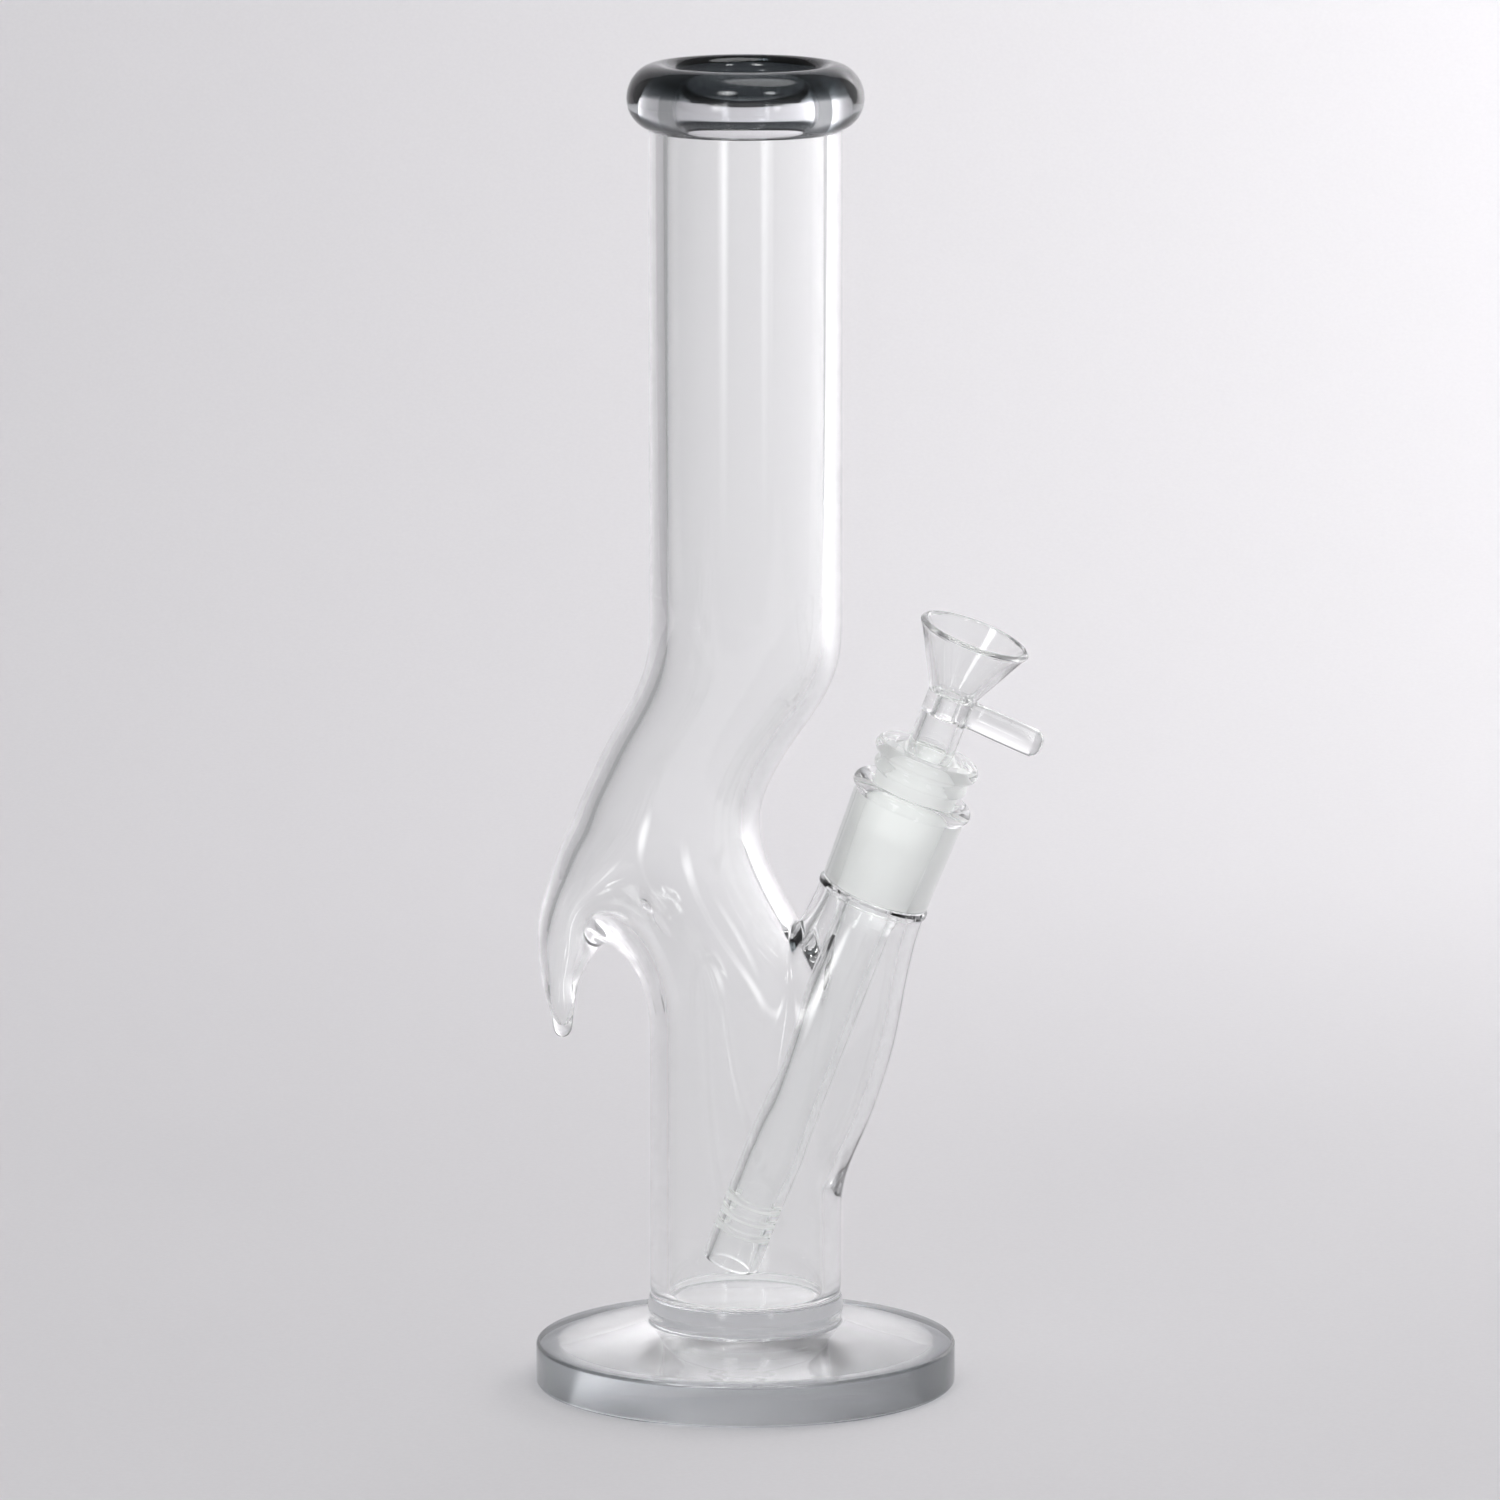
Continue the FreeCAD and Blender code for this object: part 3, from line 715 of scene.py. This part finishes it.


def mouth_ring():
    """The mouth ring in two shades of smoke: a pale foot that flows into the tube, and a dark crown. The foot's
    pale smoke is painted light, for the bright band seen through the lower ring; the crown's dark smoke is the
    glass's own.
    """
    width, above, below = MOUTH_R - RING_CREST_R, MOUTH_TOP - RING_BELLY, RING_BELLY - TUBE_TOP
    centre = (RING_CREST_R, RING_BELLY)
    line_angle = math.degrees(math.asin((SMOKE_LINE - RING_BELLY) / above))
    foot = [corner(TUBE_BORE_R, TUBE_TOP), corner(TUBE_R, TUBE_TOP, 0, WELD)]
    foot += oval(centre, width, below, -72, 0)
    foot += oval(centre, width, above, line_angle / 3, line_angle, steps=3)
    foot += [corner(MOUTH_BORE_R, SMOKE_LINE, 0, WELD), corner(MOUTH_BORE_R, TUBE_TOP + 2.0),
             corner(MOUTH_BORE_R + 0.35, TUBE_TOP + 0.8)]
    turned("mouth_ring_foot_glass", foot, "mouth_ring", slot="smoke_glass", materials=RING_FOOT_PAINTED_LIGHT_SET)
    lip = 3.6                  # height of the crown's rounding into the bore
    crown = oval(centre, width, above, line_angle, 90)
    crown += oval((RING_CREST_R, MOUTH_TOP - lip), RING_CREST_R - MOUTH_BORE_R, lip, 95, 180)
    crown += [corner(MOUTH_BORE_R, SMOKE_LINE)]
    crown[0]["finish"] = WELD
    turned("mouth_ring_glass", crown, "mouth_ring", slot="smoke_glass", materials=RING_SET)


SLEEVE_FOOT_R, SLEEVE_R = 11.9, 12.6
SOCKET_CONE_LOW, SOCKET_CONE_HIGH = 8.13, 9.2


def socket():
    """The socket: a clear tail with a thick weld ring, a sleeve ground inside, and a rim bead."""
    _, tail_top, _, bore = leaning("socket_tail")
    low, high, _, _ = leaning("socket_sleeve")
    _, rim_top, _, _ = leaning("socket_rim")
    at = joint_placement()
    ring_r = 12.45
    tail = [corner(arm_radius(ARM_END) - ARM_WALL, ARM_END), corner(arm_radius(ARM_END), ARM_END, 0, WELD),
            corner(12.0, 79.0, 0.2), corner(ring_r, 79.5, 0.3), corner(ring_r, 80.3, 0.3),
            corner(SLEEVE_FOOT_R, tail_top), corner(bore, tail_top, 0, WELD)]
    turned("socket_tail_glass", tail, "socket_tail", placement=at)
    sleeve = [corner(bore, low), corner(SLEEVE_FOOT_R, low, 0, WELD), corner(12.0, low + 0.6),
              corner(SLEEVE_R, high), corner(SOCKET_CONE_HIGH, high, 0, WELD),
              corner(SOCKET_CONE_LOW, low, 0, GROUND)]
    turned("socket_sleeve_glass", sleeve, "socket_sleeve", slot="frosted_glass", placement=at)
    rim = [corner(SOCKET_CONE_HIGH, high), corner(SLEEVE_R, high, 0, WELD)]
    rim += curve([(SLEEVE_R, high), (13.3, high + 0.9), (13.5, high + 1.8), (13.1, high + 2.8),
                  (12.2, rim_top), (11.0, rim_top), (10.0, rim_top - 0.5),
                  (SOCKET_CONE_HIGH + 0.1, rim_top - 1.3), (SOCKET_CONE_HIGH, high)])[1:-1]
    turned("socket_rim_glass", rim, "socket_rim", placement=at)


def on_axis(name, outline, node, body, slot="clear_glass"):
    """A piece turned on the joint axis."""
    return turned(name, outline, node, body, slot, placement=joint_placement())


SLIT_COUNT, SLIT_FIRST, SLIT_PITCH, SLIT_WIDTH = 3, 8.0, 3.45, 1.3
SLIT_SAW_DEPTH = 4.2           # the saw stops this far past the tube's axis


def saw_slits(piece):
    """Cuts the cross slits into the diffuser tip from its -Y side, leaving ground faces."""
    tip_low, _, radius, _ = leaning("diffuser_tip")
    cutter = bpy.data.meshes.new("saw")
    bm = bmesh.new()
    for i in range(SLIT_COUNT):
        height = tip_low + SLIT_FIRST + SLIT_PITCH * i + SLIT_WIDTH / 2
        size = Matrix.Diagonal((2.4 * radius, 2 * radius - SLIT_SAW_DEPTH + 1, SLIT_WIDTH, 1))
        middle = Matrix.Translation((0, -(SLIT_SAW_DEPTH + 1) / 2, height))
        bmesh.ops.create_cube(bm, size=1, matrix=Matrix.Scale(MM, 4) @ joint_placement() @ middle @ size)
    bm.to_mesh(cutter)
    bm.free()
    cutter.materials.append(ground_glass)
    saw = bpy.data.objects.new("saw", cutter)
    bpy.context.scene.collection.objects.link(saw)
    cut = piece.modifiers.new("slits", "BOOLEAN")
    cut.operation, cut.solver, cut.object, cut.material_mode = "DIFFERENCE", "EXACT", saw, "TRANSFER"
    after = bpy.data.meshes.new_from_object(piece.evaluated_get(bpy.context.evaluated_depsgraph_get()))
    piece.modifiers.clear()
    piece.data = after
    after.polygons.foreach_set("use_smooth", np.ones(len(after.polygons), bool))
    after.set_sharp_from_angle(angle=math.radians(SHARP_ANGLE))
    bpy.data.objects.remove(saw)


SEAT_GAP = 0.05                # air between the bowl's ground cone and its seat


def downstem():
    """The downstem: ground cone, grip bulge and flange with the bowl's seat, tube and slit tip."""
    low, high, cone_high, bore = leaning("downstem_plug")
    cone_low = cone_high - (high - low) * TAPER
    seat_foot, bowl_top, bowl_cone_r, _ = leaning("bowl_plug")
    seat_low = bowl_cone_r - (bowl_top - seat_foot) * TAPER + SEAT_GAP
    seat_cup = seat_low + (high - seat_foot) * TAPER
    on_axis("downstem_plug_glass", [
        corner(bore, low), corner(cone_low, low, 0, WELD), corner(cone_high, high, 0, GROUND),
        corner(seat_cup, high, 0, WELD), corner(seat_low, seat_foot, 0.6, GROUND),
        corner(bore, seat_foot - 1.5, 0.8)], "downstem_plug", "downstem_cone", "frosted_glass")
    _, cup_top, flange, _ = leaning("downstem_cup")
    seat_top = seat_cup + (cup_top - high) * TAPER
    cup = [corner(seat_cup, high), corner(cone_high, high, 0, WELD)]
    cup += curve([(cone_high, high), (cone_high + 0.95, high + 0.7), (cone_high + 1.3, high + 1.7),
                  (cone_high + 1.0, high + 2.7), (cone_high + 0.65, high + 3.4),
                  (cone_high + 1.0, high + 4.0), (flange - 0.5, high + 4.35), (flange, high + 5.2),
                  (flange - 0.1, high + 6.2), (flange - 0.7, cup_top - 0.15), (flange - 1.6, cup_top)])[1:]
    cup += [corner(seat_top + 0.2, cup_top, 0.7)]
    cup[0]["finish"] = GROUND
    on_axis("downstem_cup_glass", cup, "downstem_cup", "downstem")
    tube_low, tube_high, _, _ = leaning("downstem_tube")
    tip_low, tip_high, radius, _ = leaning("diffuser_tip")
    tube = [corner(bore, tube_low), corner(radius, tube_low, 0, WELD)]
    tube += curve([(radius, tube_low), (radius, tube_high - 11.0), (radius + 0.08, tube_high - 7.5),
                   (radius + 0.5, tube_high - 5.2), (radius + 1.05, tube_high - 2.6),
                   (cone_low - 0.5, tube_high - 0.7), (cone_low, tube_high)])[1:]
    tube += [corner(bore, tube_high, 0, WELD)]
    on_axis("downstem_tube_glass", tube, "downstem_tube", "downstem")
    saw_slits(on_axis("diffuser_tip_glass", [
        corner(bore, tip_high, 0, WELD), corner(bore, tip_low, 0.75), corner(radius, tip_low, 0.85),
        corner(radius, tip_high)], "diffuser_tip", "downstem"))


def bowl():
    """The bowl: ground cone, stem, throat with its draught hole, and funnel."""
    low, high, cone_high, bore = leaning("bowl_plug")
    cone_low = cone_high - (high - low) * TAPER
    on_axis("bowl_plug_glass", [
        corner(bore, low, 0.5), corner(cone_low, low, 0.6), corner(cone_high, high, 0, GROUND),
        corner(bore, high, 0, WELD)], "bowl_plug", "bowl_cone", "frosted_glass")
    _, stem_high, _, _ = leaning("bowl_stem")
    throat_low, throat_high, radius, hole = leaning("bowl_throat")
    stem = [corner(bore, high), corner(cone_high, high, 0, WELD)]
    stem += curve([(cone_high, high), (cone_high - 0.75, high + 0.3), (radius + 0.5, high + 1.2),
                   (radius + 0.1, high + 2.2), (radius, high + 3.6), (radius, stem_high)])[1:]
    stem += [corner(bore, stem_high, 0, WELD)]
    on_axis("bowl_stem_glass", stem, "bowl_stem", "bowl")
    on_axis("bowl_throat_glass", [
        corner(hole, throat_low, 0.8), corner(bore, throat_low), corner(radius, throat_low, 0, WELD),
        corner(radius, throat_high), corner(hole, throat_high, 0, WELD)], "bowl_throat", "bowl")
    _, top, wide, _ = leaning("bowl_funnel")
    cone = [corner(hole, throat_high), corner(radius, throat_high, 0, WELD)]
    cone += curve([(radius, throat_high), (radius + 0.5, throat_high + 1.2), (wide - 0.6, top - 1.9),
                   (wide - 0.05, top - 1.2), (wide - 0.1, top - 0.45), (wide - 0.7, top - 0.02),
                   (wide - 1.3, top - 0.35), (wide - 1.9, top - 1.5), (hole + 1.6, throat_high + 1.4),
                   (hole + 0.3, throat_high + 0.5), (hole, throat_high)])[1:-1]
    on_axis("bowl_funnel_glass", cone, "bowl_funnel", "bowl")


def bowl_handle():
    """The glass rod that stands out sideways from the throat, spread a little where it is welded on."""
    radius = leaning("bowl_throat")[2]
    handle = node_points("bowl_handle") - AXIS_FOOT
    side = np.array([AXIS_WAY[2], 0, -AXIS_WAY[0]])
    reach, thick = (handle @ side).max(), np.abs(handle[:, 1]).max()
    heights = handle @ AXIS_WAY
    middle = Matrix.Translation((0, 0, (heights.min() + heights.max()) / 2))
    at = joint_placement() @ (middle @ Matrix.Rotation(math.pi / 2, 4, "Y"))
    root = radius - 0.9
    rod = [corner(0, root), corner(thick + 0.5, root, 0, WELD)]
    rod += curve([(thick + 0.5, root), (thick + 0.12, radius + 0.3), (thick - 0.05, radius + 2.0),
                  (thick, radius + 6.0), (thick, reach - 2.8), (thick - 0.35, reach - 1.3),
                  (thick - 1.35, reach - 0.3), (0.0, reach)])[1:]
    turned("bowl_handle_glass", rod, "bowl_handle", "bowl", placement=at)


def pieces():
    """Everything, in the place of all the CAD nodes."""
    stand_in(body_glass(), "root", "clear_glass", "body_tube", "side_arm")
    straight_tube("chamber_foot_glass", WALL_CUT, BLOWN_LOW)
    straight_tube("upper_tube_glass", BLOWN_TOP, TUBE_TOP)
    foot_disc()
    foot_rim()
    tube_floor()
    mouth_ring()
    socket()
    downstem()
    bowl()
    bowl_handle()


# ---- studio -------------------------------------------------------------------------------------
CAMERA_AZIMUTH = math.radians(16.0)
CAMERA_DISTANCE, CAMERA_HEIGHT = 2.2842, 0.5326
CAMERA_PITCH = math.radians(9.72)
CAMERA_LENS = 254.4            # focal length in millimetres, for a sensor 36 mm wide
SIDE_STEP = 0.00098            # the camera stands this far to the right of the tube's axis
RIGHT = Vector((math.cos(CAMERA_AZIMUTH), math.sin(CAMERA_AZIMUTH), 0))
BACK = Vector((math.sin(CAMERA_AZIMUTH), -math.cos(CAMERA_AZIMUTH), 0))


def studio_place(right, back, up):
    """A point by its distances right of, towards and above the object's foot, as the camera sees it."""
    return RIGHT * right + BACK * back + Vector((0, 0, up))


SHEET_DROP = 0.0003            # a hair of air between the foot and the paper


def stage_sheet():
    """A paper sheet that runs under the object and curves up behind it. Seen from its back it is clear."""
    material, tree = new_material("backdrop_paper")
    grain_place = tree.nodes.new("ShaderNodeTexCoord")
    grain = add(tree, "ShaderNodeTexNoise", Scale=900.0, Detail=2.0)
    tree.links.new(grain_place.outputs["Object"], grain.inputs["Vector"])
    ramp = tree.nodes.new("ShaderNodeValToRGB")
    ramp.color_ramp.elements[0].color = (0.735, 0.722, 0.74, 1)
    ramp.color_ramp.elements[1].color = (0.775, 0.762, 0.78, 1)
    tree.links.new(grain.outputs["Fac"], ramp.inputs["Fac"])
    paper = add(tree, "ShaderNodeBsdfDiffuse")
    tree.links.new(ramp.outputs["Color"], paper.inputs["Color"])
    facing = tree.nodes.new("ShaderNodeNewGeometry")
    from_behind = tree.nodes.new("ShaderNodeBsdfTransparent")
    either = tree.nodes.new("ShaderNodeMixShader")
    tree.links.new(facing.outputs["Backfacing"], either.inputs[0])
    tree.links.new(paper.outputs[0], either.inputs[1])
    tree.links.new(from_behind.outputs[0], either.inputs[2])
    out = tree.nodes.new("ShaderNodeOutputMaterial")
    tree.links.new(either.outputs[0], out.inputs["Surface"])
    near, far, sweep, top, half, steps = 0.9, 0.6, 0.7, 1.5, 1.0, 24
    profile = [(near, 0.0), (-far, 0.0)]
    for i in range(1, steps + 1):
        turn = math.pi / 2 * i / steps
        profile.append((-far - sweep * math.sin(turn), sweep * (1 - math.cos(turn))))
    profile.append((-far - sweep, top))
    points, faces = [], []
    for back, up in profile:
        points += [studio_place(side, back, up - SHEET_DROP) for side in (-half, half)]
    for i in range(len(profile) - 1):
        faces.append((2 * i, 2 * i + 1, 2 * i + 3, 2 * i + 2))
    mesh = bpy.data.meshes.new("backdrop")
    mesh.from_pydata(points, [], faces)
    mesh.polygons.foreach_set("use_smooth", np.ones(len(faces), bool))
    mesh.materials.append(material)
    sheet = bpy.data.objects.new("backdrop", mesh)
    bpy.context.scene.collection.objects.link(sheet)


def softbox(name, where, aim, width, height, strength, edge, only_paper=False):
    """A glowing panel that faces a place. Its glow fades out from edge, a share of its half width.

    Nothing sees an only_paper panel in or through the glass: it lights the matt surfaces alone.
    """
    material, tree = new_material(name)
    link = tree.links.new
    place = tree.nodes.new("ShaderNodeTexCoord")
    centre = add(tree, "ShaderNodeMapping")
    centre.inputs["Location"].default_value = (-1, -1, 0)
    centre.inputs["Scale"].default_value = (2, 2, 0)
    link(place.outputs["Generated"], centre.inputs["Vector"])
    reach = tree.nodes.new("ShaderNodeVectorMath")
    reach.operation = "LENGTH"
    link(centre.outputs["Vector"], reach.inputs[0])
    fade = add(tree, "ShaderNodeMapRange", From_Min=1.0, From_Max=edge)
    fade.interpolation_type = "SMOOTHSTEP"
    link(reach.outputs["Value"], fade.inputs["Value"])
    power = tree.nodes.new("ShaderNodeMath")
    power.operation = "MULTIPLY"
    power.inputs[1].default_value = strength
    link(fade.outputs["Result"], power.inputs[0])
    glow = tree.nodes.new("ShaderNodeEmission")
    link(power.outputs[0], glow.inputs["Strength"])
    air = tree.nodes.new("ShaderNodeBsdfTransparent")
    both = tree.nodes.new("ShaderNodeAddShader")
    link(glow.outputs[0], both.inputs[0])
    link(air.outputs[0], both.inputs[1])
    out = tree.nodes.new("ShaderNodeOutputMaterial")
    link(both.outputs[0], out.inputs["Surface"])
    mesh = bpy.data.meshes.new(name)
    corners = [(-width / 2, -height / 2, 0), (width / 2, -height / 2, 0), (width / 2, height / 2, 0),
               (-width / 2, height / 2, 0)]
    mesh.from_pydata(corners, [], [(3, 2, 1, 0)])
    mesh.materials.append(material)
    panel = bpy.data.objects.new(name, mesh)
    panel.location = where
    panel.rotation_mode = "QUATERNION"
    panel.rotation_quaternion = (aim - where).to_track_quat("-Z", "Y")
    panel.visible_camera = False
    panel.visible_transmission = panel.visible_glossy = not only_paper
    bpy.context.scene.collection.objects.link(panel)


def camera():
    """The camera, looking a little down at the object."""
    lens = bpy.data.cameras.new("camera")
    lens.lens = CAMERA_LENS
    lens.sensor_width = 36.0
    lens.clip_start, lens.clip_end = 0.05, 20
    stand = bpy.data.objects.new("camera", lens)
    stand.location = studio_place(SIDE_STEP, CAMERA_DISTANCE, CAMERA_HEIGHT)
    stand.rotation_euler = (math.pi / 2 - CAMERA_PITCH, 0, CAMERA_AZIMUTH)
    bpy.context.scene.collection.objects.link(stand)
    bpy.context.scene.camera = stand


def studio_air():
    """The room round the set: pale walls, paler to the right, and dark overhead."""
    world = bpy.data.worlds.new("studio_air")
    world.use_nodes = True
    tree = world.node_tree
    way = tree.nodes.new("ShaderNodeTexCoord")
    height = tree.nodes.new("ShaderNodeSeparateXYZ")
    tree.links.new(way.outputs["Generated"], height.inputs[0])
    fade = add(tree, "ShaderNodeMapRange", From_Min=0.25, From_Max=0.6, To_Min=1.0, To_Max=0.4)
    fade.interpolation_type = "SMOOTHSTEP"
    tree.links.new(height.outputs["Z"], fade.inputs["Value"])
    aside = tree.nodes.new("ShaderNodeVectorMath")
    aside.operation = "DOT_PRODUCT"
    aside.inputs[1].default_value = RIGHT
    tree.links.new(way.outputs["Generated"], aside.inputs[0])
    wall = add(tree, "ShaderNodeMapRange", From_Min=-0.7, From_Max=0.7, To_Min=0.36, To_Max=0.67)
    tree.links.new(aside.outputs["Value"], wall.inputs["Value"])
    both = tree.nodes.new("ShaderNodeMath")
    both.operation = "MULTIPLY"
    tree.links.new(fade.outputs["Result"], both.inputs[0])
    tree.links.new(wall.outputs["Result"], both.inputs[1])
    glow = tree.nodes["Background"]
    glow.inputs["Color"].default_value = (0.97, 0.97, 1.0, 1)
    tree.links.new(both.outputs[0], glow.inputs["Strength"])
    bpy.context.scene.world = world


def studio():
    """The paper, the panels and the room, and how deeply light is followed through the glass."""
    stage_sheet()
    middle = studio_place(0, 0, 0.15)
    softbox("key_box", studio_place(-0.55, 1.36, 1.80), middle, 0.80, 0.80, strength=13.6, edge=0)
    softbox("low_key", studio_place(-0.56, 1.06, 0.33), middle, 0.38, 0.74, strength=9.0, edge=0)
    softbox("fill_box", studio_place(0.75, 1.30, 1.80), middle, 0.55, 0.55, strength=13.4, edge=0)
    softbox("low_fill", studio_place(0.61, 1.05, 0.33), middle, 0.26, 0.66, strength=6.0, edge=0)
    softbox("top_box", studio_place(0.25, 0, 1.7), studio_place(0.25, 0, 0), 1.2, 1.0,
            strength=2.7, edge=0.8)
    softbox("sheet_box", studio_place(1.00, -0.85, 0.85), studio_place(0.45, -1.3, 0.20), 0.5, 0.6,
            strength=34.0, edge=0.3, only_paper=True)
    studio_air()
    scene = bpy.context.scene
    scene.view_settings.view_transform = "Standard"
    scene.cycles.max_bounces = 40
    scene.cycles.transmission_bounces = 40
    scene.cycles.glossy_bounces = 16
    scene.cycles.transparent_max_bounces = 40


pieces()
camera()
studio()
